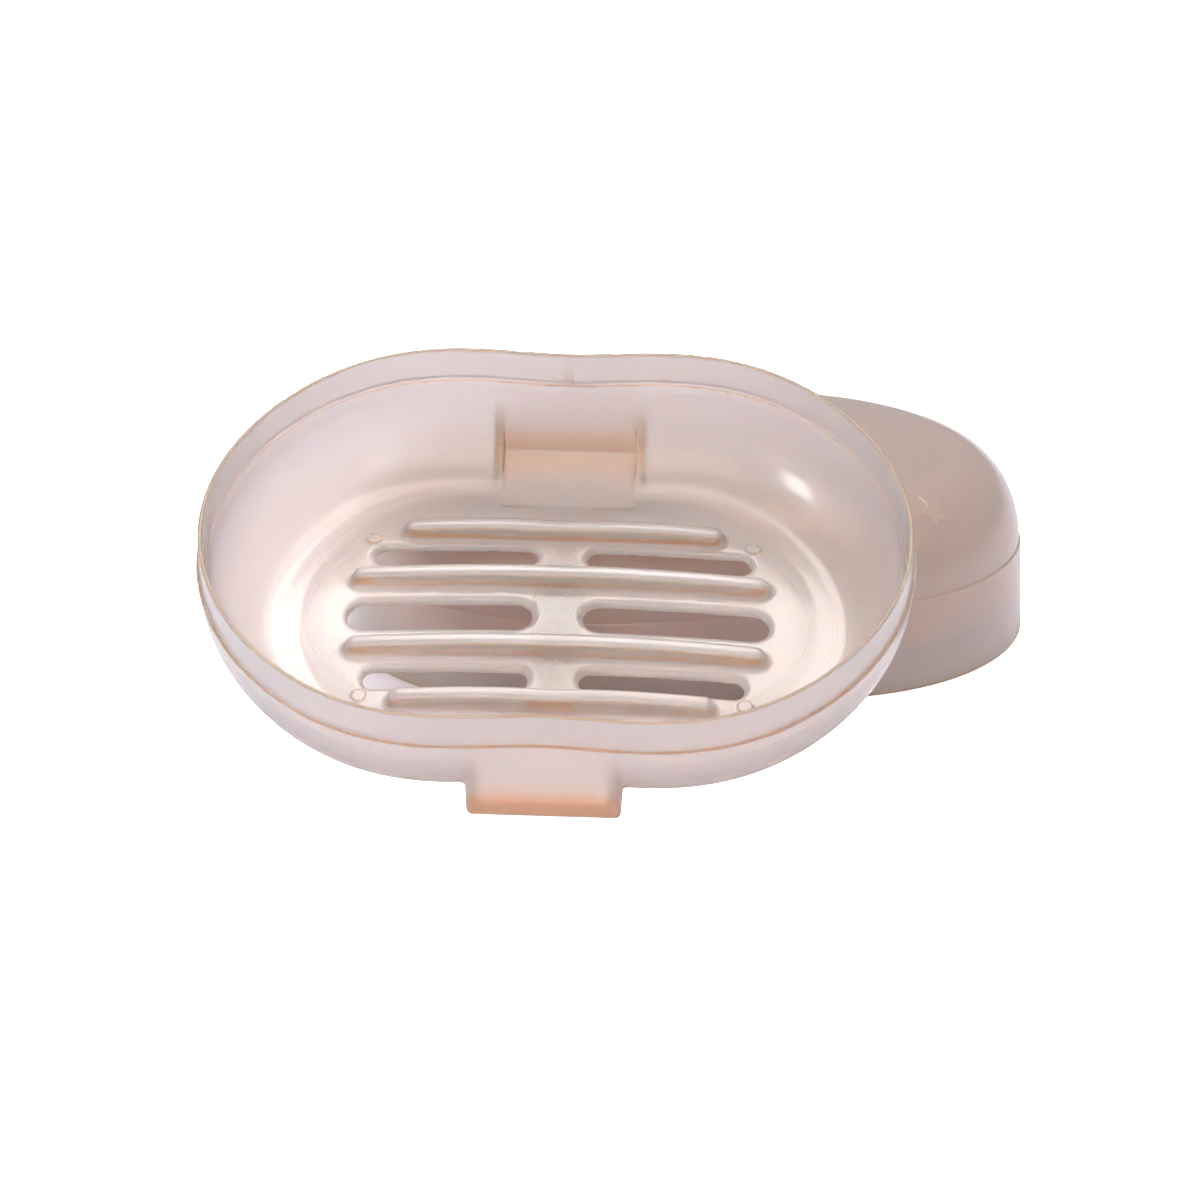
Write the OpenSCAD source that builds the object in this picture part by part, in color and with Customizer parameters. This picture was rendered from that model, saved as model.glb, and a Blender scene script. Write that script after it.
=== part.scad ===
// Travel soap box in two thin plastic shells: a tray with drain slots and ribs, and a domed lid.
// The lid lies mouth down on the table. The tray stands on the lower edge of its front foot and leans
// back on the lid, open side up.

/* [Outline] */
// Length of the box at the tray's rim
box_length = 108; // [90:1:130]
// Width of the box across its waist, at the tray's rim
waist_width = 75.7; // [60:0.1:90]
// How far the four shoulders of the outline swell beyond an oval
shoulder_swell = 2; // [0:0.1:4]
// How far the outline is drawn in beside its ends and at its waist
side_pinch = 0.7; // [0:0.1:1.5]

/* [Plastic] */
// Thickness of every wall
wall = 1.3; // [1:0.1:2]
// Gap between the tray's rim band and the lid's skirt when the box is shut
fit_gap = 0.15; // [0.1:0.05:0.3]

/* [Tray] */
// Height of the tray from its base to its rim
tray_height = 22.2; // [18:0.1:30]
// Height of the thin band at the rim, over which the lid slides
band_height = 6.1; // [4:0.1:8]
// Width of the ledge below that band
ledge = 0.6; // [0.4:0.05:0.8]
// How much the wall leans in between the ledge and the bottom curve
tray_draft = 0.4; // [0:0.1:1]
// How far in the bottom curve reaches
bottom_curve_depth = 12; // [8:0.5:14]
// How high up the wall the bottom curve reaches
bottom_curve_height = 13.5; // [9:0.5:15]
// Width of the flat ring under the tray
base_ring = 2.5; // [1.5:0.1:4]
// Rise of the floor from its edge to its middle
floor_crown = 2.1; // [0.5:0.1:3]

/* [Feet] */
// Width of the hollow foot in the middle of each long side
foot_width = 23.2; // [14:0.1:30]
// Radius of the foot's two lower corners
foot_corner = 1.6; // [0.5:0.1:3]
// How far the foot's face stands back from the tray's ledge
foot_setback = 0.2; // [0.15:0.05:0.4]
// How far in from its face the foot reaches
foot_reach = 14; // [13:0.5:15]
// Thickness of the foot's face
foot_wall = 1.6; // [1.4:0.1:2.2]
// How far the feet reach below the ring
foot_stand = 0.2; // [0.1:0.05:0.5]

/* [Ribs and slots] */
// Width of a slot in the middle row, at the floor's upper face
middle_slot_width = 6.6; // [4:0.1:7.5]
// Width of a slot in the two outer rows, at the floor's upper face
outer_slot_width = 4.7; // [3.5:0.1:5]
// How far a slot's walls lean in on their way down
slot_taper = 0.9; // [0.3:0.1:1]
// Width of the solid floor between the two slots of a row
slot_bridge = 6.6; // [5:0.1:12]
// Length of a slot in the middle row
middle_slot_length = 29.6; // [20:0.1:31]
// Length of a slot in the two outer rows
outer_slot_length = 26.3; // [18:0.1:28]
// Distance from the middle to the outer slots
outer_slot_y = 12.8; // [12.5:0.1:12.9]
// Distance from the middle to the inner ribs
inner_rib_y = 7.2; // [6.5:0.1:7.5]
// Distance from the middle to the outer ribs
outer_rib_y = 17.7; // [17.6:0.1:19]
// Length of an inner rib
inner_rib_length = 65; // [40:0.5:68]
// Length of an outer rib
outer_rib_length = 50.3; // [30:0.5:54]
// Width of a rib at the floor
rib_width = 3.9; // [3:0.1:4.1]
// Width of a rib below its round top
rib_top_width = 2.6; // [2.2:0.1:2.9]
// Height of a rib's middle above the floor
rib_height = 2.7; // [1.5:0.1:5]
// How much lower a rib stands over the floor at its ends
rib_fall = 0.5; // [0:0.1:1]
// Thickness of the plastic round the hollow under a rib
rib_wall = 1; // [0.8:0.05:1.05]
// Distance of the round pips from the middle of the tray's long side
pip_x = 29.3; // [28:0.1:31]
// Distance of the round pips from the tray's long middle line
pip_y = 16.4; // [12:0.1:18]
// Radius of a pip
pip_radius = 1.1; // [0.6:0.1:1.5]
// Height of a pip above the floor
pip_height = 0.3; // [0.2:0.05:0.6]

/* [Lid] */
// Depth of the thin skirt that slides over the tray's band
skirt_depth = 7.6; // [5:0.1:9]
// Thickness of the skirt
skirt_wall = 0.75; // [0.6:0.05:0.9]
// Height of the crease between the lid's wall and its shoulder
crease_height = 14.6; // [10:0.1:18]
// How much the wall leans in between the rim and the crease
lid_draft = 0.5; // [0:0.1:1]
// Width of the small step at the crease
crease_step = 0.3; // [0.1:0.05:0.5]
// How far in the round shoulder reaches
shoulder_depth = 12.4; // [8:0.1:14]
// How high the round shoulder rises
shoulder_rise = 14.9; // [8:0.1:16]
// Rise of the lid's top inside its shoulder
top_crown = 1.5; // [0.5:0.1:3]

/* [Star] */
// Radius of the raised star to its points
star_radius = 3.3; // [2:0.1:4]
// Height of the star above the shoulder
star_height = 0.3; // [0.2:0.05:0.6]
// Place of the star around the outline, in degrees
star_turn = 317; // [310:1:325]
// Place of the star up the shoulder, in degrees
star_climb = 53; // [45:1:65]

/* [Arrangement] */
// Angle at which the tray leans on the lid
lean = 27.8; // [22:0.1:32]
// Angle between the long sides of the lid and the tray
lid_turn = 16; // [10:0.5:20]
// Distance from the tray's middle to the lid's, along the tray
lid_shift = 17.6; // [10:0.5:22]
// Gap between the tray's base and the lid that it leans on
lean_gap = 0.3; // [0.2:0.05:0.5]

/* [Hidden] */

tray_colour = "#e0bca8";
lid_colour = "#bfaead";

around = 72;            // points round the outline
curve_steps = 6;        // bands in each bottom curve and shoulder
end_steps = 10;         // steps round one end of a rib or slot
side_steps = 8;         // steps along one side of a rib or slot
rib_steps = 4;          // bands in a rib's round top
crown_scales = [0.85, 0.65, 0.35];
star_waist = 0.42;      // radius of the star's inner corners, as a share of star_radius
seating_rounds = 6;     // times the tray is slid up to the lid

half_length = box_length / 2;
half_waist = waist_width / 2 + side_pinch;
floor_edge = ledge - tray_draft - bottom_curve_depth;
foot_face = waist_width / 2 + ledge - foot_setback;
shell_height = tray_height - foot_stand;
cut = 0.5;              // how far a cutter reaches past a face

lid_rim_out = fit_gap + skirt_wall;
lid_crease_out = lid_rim_out - lid_draft;
shoulder_start = lid_crease_out - crease_step;
shoulder_end = shoulder_start - shoulder_depth;
lid_flat_height = crease_height + shoulder_rise;

// The outline's radius at angle t: an oval, swollen at its four shoulders and pinched by a third wave.
function outline_radius(t) = half_length * cos(t) ^ 2 + half_waist * sin(t) ^ 2
    + shoulder_swell * sin(2 * t) ^ 2 - side_pinch * sin(3 * t) ^ 2;

// How fast that radius changes with the angle, per radian.
function outline_slope(t) = (half_waist - half_length) * sin(2 * t)
    + 2 * shoulder_swell * sin(4 * t) - 3 * side_pinch * sin(6 * t);

// The outline's outward unit normal at angle t.
function outline_normal(t) =
    let (r = outline_radius(t), s = outline_slope(t), n = sqrt(r * r + s * s))
    [(r * cos(t) + s * sin(t)) / n, (r * sin(t) - s * cos(t)) / n];

// The point at angle t on the outline moved outward by out.
function outline_point(t, out) = outline_radius(t) * [cos(t), sin(t)] + out * outline_normal(t);

// A level ring of points: [how far outside the outline, scale towards the middle, height].
function ring(spec) = [for (i = [0 : around - 1])
    let (p = spec[1] * outline_point(360 * i / around, spec[0])) [p[0], p[1], spec[2]]];

// A quarter of an ellipse from an upright wall at [out, height] to a level face, depth further in.
function quarter_curve(out, height, depth, rise) = [for (k = [0 : curve_steps])
    let (a = 90 * k / curve_steps) [out - depth * (1 - cos(a)), 1, height + rise * sin(a)]];

function reversed(list) = [for (i = [len(list) - 1 : -1 : 0]) list[i]];

// Rings that climb from a level edge towards the crowned middle.
function crowned(out, height, crown) = [for (s = crown_scales) [out, s, height + crown * (1 - s * s)]];

// A closed solid skinned over rings of count points, from one middle point to the other.
module skinned(rings, count, first_middle, last_middle) {
    n = len(rings);
    last = n * count + 1;
    polyhedron(concat([first_middle], [for (r = rings) each r], [last_middle]), concat(
        [for (i = [0 : count - 1]) [0, 1 + i, 1 + (i + 1) % count]],
        [for (k = [0 : n - 2], i = [0 : count - 1])
            let (a = 1 + k * count, j = (i + 1) % count)
            each [[a + i, a + count + i, a + count + j], [a + i, a + count + j, a + j]]],
        [for (i = [0 : count - 1])
            let (a = 1 + (n - 1) * count) [last, a + (i + 1) % count, a + i]]
    ));
}

// A moulded shell: rings from the middle of its outer face, round the rim, to the middle of its inner face.
module shell(specs, outer_middle, inner_middle) {
    skinned([for (s = specs) ring(s)], around, [0, 0, outer_middle], [0, 0, inner_middle]);
}

// The tray's rings, from the middle of its underside to the middle of its floor. Height 0 is the flat ring.
ring_edge = floor_edge - base_ring;
tray_outside = concat(
    reversed(crowned(ring_edge, 0, floor_crown)),
    [[ring_edge, 1, 0]],
    reversed(quarter_curve(ledge - tray_draft, bottom_curve_height, bottom_curve_depth,
        -bottom_curve_height)),
    [[ledge, 1, shell_height - band_height],
     [0, 1, shell_height - band_height],
     [0, 1, shell_height]]);
tray_inside = concat(
    [[ledge - wall, 1, shell_height]],
    quarter_curve(ledge - tray_draft - wall, bottom_curve_height, bottom_curve_depth - wall,
        wall - bottom_curve_height),
    crowned(floor_edge, wall, floor_crown));

// The lid's rings, from the middle of its ceiling to the middle of its top. Height 0 is the rim.
skirt_top_out = lid_rim_out - lid_draft * skirt_depth / crease_height;
lid_inside = concat(
    reversed(crowned(shoulder_end, lid_flat_height - wall, top_crown)),
    reversed(quarter_curve(lid_crease_out - wall, crease_height, lid_crease_out - wall - shoulder_end,
        shoulder_rise - wall)),
    [[skirt_top_out - wall, 1, skirt_depth],
     [fit_gap, 1, skirt_depth],
     [fit_gap, 1, 0]]);
lid_outside = concat(
    [[lid_rim_out, 1, 0],
     [lid_crease_out, 1, crease_height]],
    quarter_curve(shoulder_start, crease_height, shoulder_depth, shoulder_rise),
    crowned(shoulder_end, lid_flat_height, top_crown));

// Height of the floor's upper face above the base at a place inside its edge.
function floor_height(x, y) =
    let (t = atan2(y, x), edge = norm(outline_point(t, floor_edge)))
    wall + floor_crown * (1 - (x * x + y * y) / (edge * edge));

// Points round a long shape with round ends, with steps along its sides so that it can bend with the floor.
function stadium(length, width) =
    let (r = width / 2, reach = length / 2 - r)
    [for (side = [1, -1]) each side * concat(
        [for (k = [0 : end_steps]) let (a = 180 * k / end_steps - 90) [reach + r * cos(a), r * sin(a)]],
        [for (k = [1 : side_steps - 1]) [reach * (1 - 2 * k / side_steps), r]])];

// The same points round the place x, y, at a height above the floor that falls off towards the ends.
function floor_ring(x, y, length, width, above, fall) = [for (p = stadium(length, width))
    [x + p[0], y + p[1], floor_height(x + p[0], y + p[1]) + above - fall * (2 * p[0] / length) ^ 2]];

// Triangles across such a ring, in pairs from its one end to the other, clockwise as seen from above.
function ring_faces(start) =
    let (half = end_steps + side_steps, tip = end_steps / 2)
    [for (m = [0 : half - 1])
        let (a = start + tip + m, b = start + (tip - m + 2 * half) % (2 * half),
            next_b = start + (tip - m - 1 + 2 * half) % (2 * half))
        each [if (m > 0) [b, a + 1, a], if (m < half - 1) [b, next_b, a + 1]]];

// A closed solid over rings of that kind, from its lowest ring to its highest.
module floor_solid(rings) {
    count = len(rings[0]);
    top = (len(rings) - 1) * count;
    polyhedron([for (r = rings) each r], concat(
        [for (f = ring_faces(0)) reversed(f)],
        [for (k = [0 : len(rings) - 2], i = [0 : count - 1])
            let (a = k * count, j = (i + 1) % count)
            each [[a + i, a + count + i, a + count + j], [a + i, a + count + j, a + j]]],
        ring_faces(top)
    ));
}

// One drain slot: its round-ended hole through the floor, narrower at the underside.
module slot(x, y, length, width) {
    floor_solid([for (above = [-wall - cut, cut]) let (wider = 2 * slot_taper * above / wall)
        floor_ring(x, y, length + wider, width + wider, above, 0)]);
}

// A long bead on the floor: leaning sides up to the start of its round top, and round ends.
module bead(y, length, width, top_width, bottom, height) {
    slim = length - width + top_width;
    floor_solid(concat([floor_ring(0, y, length, width, bottom, 0)],
        [for (k = [0 : rib_steps - 1]) let (a = 90 * k / rib_steps, drawn_in = top_width * (1 - cos(a)))
            floor_ring(0, y, slim - drawn_in, top_width - drawn_in,
                height - top_width / 2 * (1 - sin(a)), rib_fall)]));
}

// One soap rib.
module rib(y, length) {
    bead(y, length, rib_width, rib_top_width, -wall / 2, rib_height);
}

// The hollow under a rib, which leaves a wall of even thickness.
module rib_hollow(y, length) {
    bead(y, length - 2 * rib_wall, rib_width - 2 * rib_wall, rib_top_width - 2 * rib_wall,
        -wall - cut, rib_height - rib_wall);
}

// A block that lies along y with its lower corners rounded, as seen from the front.
module foot_block(width, corner, bottom, top, near, far) {
    translate([0, far, 0]) rotate([90, 0, 0]) linear_extrude(far - near) {
        translate([-width / 2, bottom + corner]) square([width, top - bottom - corner]);
        translate([-width / 2 + corner, bottom]) square([width - 2 * corner, 2 * corner]);
        for (side = [-1, 1]) translate([side * (width / 2 - corner), bottom + corner])
            circle(r = corner, $fn = 32);
    }
}

// The outside of the foot on the back long side.
module foot_outside() {
    foot_block(foot_width, foot_corner, -foot_stand, shell_height - band_height - wall / 2,
        foot_face - foot_reach, foot_face);
}

// The pocket inside that foot, open to the tray.
module foot_inside() {
    foot_block(foot_width - 2 * wall, foot_corner, wall, shell_height - band_height,
        foot_face - foot_reach, foot_face - foot_wall);
}

// The tray's space out to the middle of its walls, which keeps the feet from filling the tray.
module tray_core() {
    shell(concat(
        reversed(crowned(floor_edge, wall / 2, floor_crown)),
        reversed(quarter_curve(ledge - tray_draft - wall / 2, bottom_curve_height,
            bottom_curve_depth - wall / 2, wall / 2 - bottom_curve_height)),
        [[ledge - wall / 2, 1, shell_height]]),
        wall / 2 + floor_crown, shell_height);
}

// A round pip on the floor.
module pip(x, y) {
    translate([x, y, wall / 2])
        cylinder(h = floor_height(x, y) + pip_height - wall / 2, r = pip_radius, $fn = 32);
}

// The tray, its flat ring at height 0 and its long side along x.
module tray_moulding() {
    difference() {
        union() {
            shell(concat(tray_outside, tray_inside), floor_crown, wall + floor_crown);
            for (row = [-1, 1]) {
                rib(row * inner_rib_y, inner_rib_length);
                rib(row * outer_rib_y, outer_rib_length);
                for (end = [-1, 1]) pip(end * pip_x, row * pip_y);
            }
            for (side = [0, 1]) mirror([0, side, 0]) difference() {
                foot_outside();
                tray_core();
            }
        }
        for (side = [0, 1]) mirror([0, side, 0]) foot_inside();
        for (end = [-1, 1]) {
            slot(end * (slot_bridge + middle_slot_length) / 2, 0, middle_slot_length, middle_slot_width);
            for (row = [-1, 1])
                slot(end * (slot_bridge + outer_slot_length) / 2, row * outer_slot_y, outer_slot_length,
                    outer_slot_width);
        }
        for (row = [-1, 1]) {
            rib_hollow(row * inner_rib_y, inner_rib_length);
            rib_hollow(row * outer_rib_y, outer_rib_length);
        }
    }
}

// The lid, rim at height 0, its long side along x.
module lid_moulding() {
    shell(concat(lid_inside, lid_outside), lid_flat_height + top_crown - wall, lid_flat_height + top_crown);
    shoulder_star();
}

// A five-pointed star, seated square on the lid's shoulder.
module shoulder_star() {
    out = shoulder_start - shoulder_depth * (1 - cos(star_climb));
    place = outline_point(star_turn, out);
    facing = outline_normal(star_turn);
    slant = atan2(shoulder_depth * sin(star_climb), shoulder_rise * cos(star_climb));
    translate([place[0], place[1], crease_height + shoulder_rise * sin(star_climb)])
        rotate([0, 90 - slant, atan2(facing[1], facing[0])])
        translate([0, 0, -wall / 2])
        linear_extrude(wall / 2 + star_height)
        polygon([for (i = [0 : 9]) let (r = star_radius * (i % 2 == 0 ? 1 : star_waist))
            r * [-cos(36 * i), sin(36 * i)]]);
}

// Where the pieces lie. The lid's middle is at [lid_shift, 0] before everything is centred.
function turned(p, a) = [p[0] * cos(a) - p[1] * sin(a), p[0] * sin(a) + p[1] * cos(a), p[2]];
lid_points = [for (s = lid_outside, p = ring(s)) turned(p, lid_turn) + [lid_shift, 0, 0]];

// Height of the tray's underside: its feet, or its crowned floor inside the flat ring.
function underside(x, y) =
    abs(x) < foot_width / 2 && abs(y) > foot_face - foot_reach ? -foot_stand
    : let (edge = norm(outline_point(atan2(y, x), ring_edge)), reach = norm([x, y]))
        reach < edge ? floor_crown * (1 - (reach / edge) ^ 2) : 0;

// The smallest gap between the lid and the leaning tray, when the front foot's edge lies at edge_y.
function gap_below(edge_y) = min([for (p = lid_points)
    let (v = p[1] - edge_y, y = v * cos(lean) + p[2] * sin(lean) - foot_face,
        z = p[2] * cos(lean) - v * sin(lean) - foot_stand)
    underside(p[0], y) - z]);

// The tray slides towards the lid until that gap is lean_gap.
function seated(edge_y, rounds) = rounds == 0 ? edge_y
    : seated(edge_y + (gap_below(edge_y) - lean_gap) / sin(lean), rounds - 1);
foot_edge_y = seated(min([for (p = lid_points) p[1] - p[2] / tan(lean)]), seating_rounds);
function leaned(p) = let (y = p[1] + foot_face, z = p[2] + foot_stand)
    [p[0], foot_edge_y + y * cos(lean) - z * sin(lean), y * sin(lean) + z * cos(lean)];
tray_points = [for (s = tray_outside, p = ring(s)) leaned(p)];

// The middle of the floor area that both cover is the origin.
all_x = concat([for (p = lid_points) p[0]], [for (p = tray_points) p[0]]);
all_y = concat([for (p = lid_points) p[1]], [for (p = tray_points) p[1]]);
centre = [(min(all_x) + max(all_x)) / 2, (min(all_y) + max(all_y)) / 2, 0];

module soap_tray() {
    color(tray_colour)
        translate([0, foot_edge_y, 0] - centre) rotate([lean, 0, 0])
        translate([0, foot_face, foot_stand])
        tray_moulding();
}

module lid() {
    color(lid_colour)
        translate([lid_shift, 0, 0] - centre) rotate([0, 0, lid_turn])
        lid_moulding();
}

soap_tray();
lid();
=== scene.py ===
import math

import bpy
import numpy as np
from mathutils import Matrix, Vector


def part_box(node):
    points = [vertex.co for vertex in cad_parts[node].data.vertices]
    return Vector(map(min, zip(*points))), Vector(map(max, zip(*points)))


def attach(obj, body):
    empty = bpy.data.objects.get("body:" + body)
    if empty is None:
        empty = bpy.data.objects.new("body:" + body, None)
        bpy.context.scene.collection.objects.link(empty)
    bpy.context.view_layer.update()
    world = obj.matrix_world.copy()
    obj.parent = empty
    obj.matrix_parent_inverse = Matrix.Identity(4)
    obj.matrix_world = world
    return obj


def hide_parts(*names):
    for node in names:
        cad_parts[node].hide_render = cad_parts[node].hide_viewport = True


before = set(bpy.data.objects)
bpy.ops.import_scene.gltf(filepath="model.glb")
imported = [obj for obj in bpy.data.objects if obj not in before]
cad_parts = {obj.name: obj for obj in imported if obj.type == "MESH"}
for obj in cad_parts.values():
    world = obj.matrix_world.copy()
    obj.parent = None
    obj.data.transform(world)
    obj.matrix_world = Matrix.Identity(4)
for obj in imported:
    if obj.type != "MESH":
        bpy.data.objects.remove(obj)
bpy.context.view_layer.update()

# The camera stands in front of the tray and a little above it, with a long lens. Its place, tilt and
# lens are those that bring the tray's rim and the lid to the photograph's outlines.
VIEW_AIM = Vector((-0.0029, -0.0138, 0.0182))
VIEW_DISTANCE = 1.0
VIEW_HEIGHT_ANGLE = math.radians(19.24)
VIEW_SIDE_ANGLE = math.radians(2.83)
VIEW_ROLL = math.radians(0.73)
VIEW_LENS = 193.5

camera_data = bpy.data.cameras.new("camera")
camera_data.lens = VIEW_LENS
camera_data.sensor_width = 36
camera_data.clip_end = 20
camera = bpy.data.objects.new("camera", camera_data)
bpy.context.scene.collection.objects.link(camera)
turn = Matrix.Rotation(VIEW_SIDE_ANGLE, 4, "Z") @ Matrix.Rotation(math.pi / 2 - VIEW_HEIGHT_ANGLE, 4, "X")
camera.matrix_world = (Matrix.Translation(VIEW_AIM) @ turn @ Matrix.Translation((0, 0, VIEW_DISTANCE))
                       @ Matrix.Rotation(VIEW_ROLL, 4, "Z"))
bpy.context.scene.camera = camera
bpy.context.scene.view_settings.view_transform = "Standard"

# A lilac grey table in a soft grey room. Both are lifted to white where the camera looks straight at
# them, but not where it looks through the drain slots, at the patch of table that the box shades.
TABLE_COLOUR = (0.86, 0.84, 0.90, 1)
TABLE_LIFT = 1.0
TABLE_HALF = 4.0
SHADE_MIDDLE = (-0.012, 0.025)
SHADE_REACH = (0.055, 0.055)
SHADE_SOFT = 0.75
ROOM_LIGHT = (0.90, 0.89, 0.93, 1)
ROOM_STRENGTH = 0.5


def combine(tree, operation, *values):
    """The result of a math node on sockets or plain numbers."""
    node = tree.nodes.new("ShaderNodeMath")
    node.operation = operation
    for socket, value in zip(node.inputs, values):
        if isinstance(value, (int, float)):
            socket.default_value = value
        else:
            tree.links.new(value, socket)
    return node.outputs[0]


def oval_reach(tree, place, middle, reach):
    """How far a place lies from the middle of an oval, as a share of the way to the oval's edge."""
    oval = tree.nodes.new("ShaderNodeMapping")
    oval.vector_type = "TEXTURE"
    oval.inputs["Location"].default_value = middle
    oval.inputs["Scale"].default_value = reach
    tree.links.new(place, oval.inputs["Vector"])
    length = tree.nodes.new("ShaderNodeVectorMath")
    length.operation = "LENGTH"
    tree.links.new(oval.outputs["Vector"], length.inputs[0])
    return length.outputs["Value"]


def soft_step(tree, value, start, end, top=1.0):
    """Nought where a value is at start and top where it is at end, eased between and level beyond."""
    step = tree.nodes.new("ShaderNodeMapRange")
    step.interpolation_type = "SMOOTHSTEP"
    step.inputs["From Min"].default_value = start
    step.inputs["From Max"].default_value = end
    step.inputs["To Max"].default_value = top
    tree.links.new(value, step.inputs["Value"])
    return step.outputs["Result"]


def make_table():
    """A flat square on the floor plane. Its surface is plain and matt, and adds the lift to white."""
    mesh = bpy.data.meshes.new("table")
    corners = [(-1, -1, 0), (1, -1, 0), (1, 1, 0), (-1, 1, 0)]
    mesh.from_pydata([tuple(TABLE_HALF * c for c in p) for p in corners], [], [(0, 1, 2, 3)])
    table = bpy.data.objects.new("table", mesh)
    bpy.context.scene.collection.objects.link(table)
    paint = bpy.data.materials.new("table_paint")
    paint.use_nodes = True
    tree = paint.node_tree
    surface = tree.nodes["Principled BSDF"]
    surface.inputs["Base Color"].default_value = TABLE_COLOUR
    surface.inputs["Roughness"].default_value = 0.9
    surface.inputs["Specular IOR Level"].default_value = 0.1
    surface.inputs["Emission Color"].default_value = (1, 1, 1, 1)
    place = tree.nodes.new("ShaderNodeTexCoord").outputs["Object"]
    reach = oval_reach(tree, place, (*SHADE_MIDDLE, 0), (*SHADE_REACH, 1))
    clear = soft_step(tree, reach, SHADE_SOFT, 1.0)
    direct = tree.nodes.new("ShaderNodeLightPath").outputs["Is Camera Ray"]
    lift = combine(tree, "MULTIPLY", combine(tree, "MULTIPLY", direct, clear), TABLE_LIFT)
    tree.links.new(lift, surface.inputs["Emission Strength"])
    mesh.materials.append(paint)


def make_room():
    """The world: plain soft light, and white wherever it is looked at."""
    world = bpy.data.worlds.new("room")
    world.use_nodes = True
    bpy.context.scene.world = world
    tree = world.node_tree
    plain = tree.nodes["Background"]
    plain.inputs["Color"].default_value = ROOM_LIGHT
    plain.inputs["Strength"].default_value = ROOM_STRENGTH
    white = tree.nodes.new("ShaderNodeBackground")
    white.inputs["Color"].default_value = (1, 1, 1, 1)
    white.inputs["Strength"].default_value = 1
    mix = tree.nodes.new("ShaderNodeMixShader")
    path = tree.nodes.new("ShaderNodeLightPath")
    tree.links.new(path.outputs["Is Camera Ray"], mix.inputs[0])
    tree.links.new(plain.outputs[0], mix.inputs[1])
    tree.links.new(white.outputs[0], mix.inputs[2])
    tree.links.new(mix.outputs[0], tree.nodes["World Output"].inputs["Surface"])


def soft_box(name, place, width, height, power, colour):
    """A studio lamp at a place in metres, facing the object, its height upright."""
    lamp = bpy.data.lights.new(name, "AREA")
    lamp.shape = "RECTANGLE"
    lamp.size = width
    lamp.size_y = height
    lamp.energy = power
    lamp.color = colour
    box = bpy.data.objects.new(name, lamp)
    box.location = place
    box.rotation_euler = (VIEW_AIM - Vector(place)).to_track_quat("-Z", "Y").to_euler()
    bpy.context.scene.collection.objects.link(box)


make_table()
make_room()
soft_box("overhead_box", (-0.07, 0.32, 1.25), 0.55, 0.45, 4, (1.0, 0.98, 0.96))
soft_box("top_box", (0.1, 0.0, 1.4), 1.1, 0.9, 11, (1.0, 0.95, 0.90))
soft_box("window_box", (-1.0, -0.64, 0.32), 0.28, 0.42, 5, (0.97, 0.98, 1.0))
soft_box("front_box", (0.1, -1.3, 0.6), 1.7, 1.0, 9, (1.0, 0.95, 0.93))

# The tray is one moulding in thin translucent peach plastic: a waisted oval dish with a thin band at
# the rim for the lid, six drain slots, four soap ribs and a hollow foot in each long side. Everything
# runs together in small fillets, so the skin is worked out from one field of distances to the plastic.
BOX_LENGTH = 108.0
WAIST_WIDTH = 75.7
SHOULDER_SWELL = 2.0
SIDE_PINCH = 0.7
WALL = 1.3
LEDGE = 0.6
FOOT_STAND = 0.2
TRAY_HEIGHT = 22.2
SHELL_HEIGHT = TRAY_HEIGHT - FOOT_STAND
BAND_DEPTH = 6.1
LEDGE_HEIGHT = SHELL_HEIGHT - BAND_DEPTH
TRAY_DRAFT = 0.4
CURVE_DEPTH = 12.0
CURVE_HEIGHT = 13.5
BASE_RING = 2.5
FLOOR_CROWN = 2.1
FOOT_WIDTH = 23.2
FOOT_CORNER = 0.96
FOOT_WALL = 1.6
FOOT_REACH = 14.0
FOOT_FACE = WAIST_WIDTH / 2 + LEDGE - 0.2
SLOT_TAPER = 0.9
SLOT_BRIDGE = 6.6
SLOT_ROWS = ((0.0, 29.6, 6.6), (12.8, 26.3, 4.7))
RIB_ROWS = ((7.2, 65.0), (17.7, 50.3))
RIB_HALF_WIDTH = 1.95
RIB_TOP_HALF = 1.1
RIB_HEIGHT = 2.7
RIB_FALL = 0.5
RIB_WALL = 1.0
PIP_PLACE = (29.3, 16.4)
PIP_RADIUS = 1.1
PIP_HEIGHT = 0.3
INNER_STEP = 0.16
TOP_CORNER = 0.3
BRIM_CORNER = 0.4
BAND_FILLET = 0.25
FOOT_FILLET = 0.9
POCKET_CORNER = 0.8
POCKET_FILLET = 0.5
RIB_FILLET = 0.6
RIB_TOP_CORNER = 0.8
RIB_HOLLOW_CORNER = 0.3
SLOT_CORNER = 0.6
PIP_FILLET = 0.3
TRAY_LEAN = math.radians(27.8)
MIDDLE_REACH = 14
NEAREST_ROUNDS = 5
TRAY_CELL = 0.42
TRAY_TRIANGLES = 185000
GRID_MARGIN = (1.5, 3.0, 0.8)
DEPTHS_BEHIND = np.arange(1.6, 6.5, 0.6)
DEPTH_EASE = 0.25
MM = 0.001


def outline_radius(t):
    """Radius of the box's outline at angle t, and its slope: an oval with a second wave that swells
    its four shoulders and a third wave that pinches its ends and waist."""
    waist = WAIST_WIDTH / 2 + SIDE_PINCH
    radius = (BOX_LENGTH / 2 * np.cos(t) ** 2 + waist * np.sin(t) ** 2
              + SHOULDER_SWELL * np.sin(2 * t) ** 2 - SIDE_PINCH * np.sin(3 * t) ** 2)
    slope = ((waist - BOX_LENGTH / 2) * np.sin(2 * t) + 2 * SHOULDER_SWELL * np.sin(4 * t)
             - 3 * SIDE_PINCH * np.sin(6 * t))
    return radius, slope


def outline_point(t, out):
    """The point at angle t on the outline, moved out along the outline's normal."""
    radius, slope = outline_radius(t)
    norm = np.hypot(radius, slope)
    away = np.stack([radius * np.cos(t) + slope * np.sin(t), radius * np.sin(t) - slope * np.cos(t)]) / norm
    return radius * np.stack([np.cos(t), np.sin(t)]) + out * away


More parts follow.
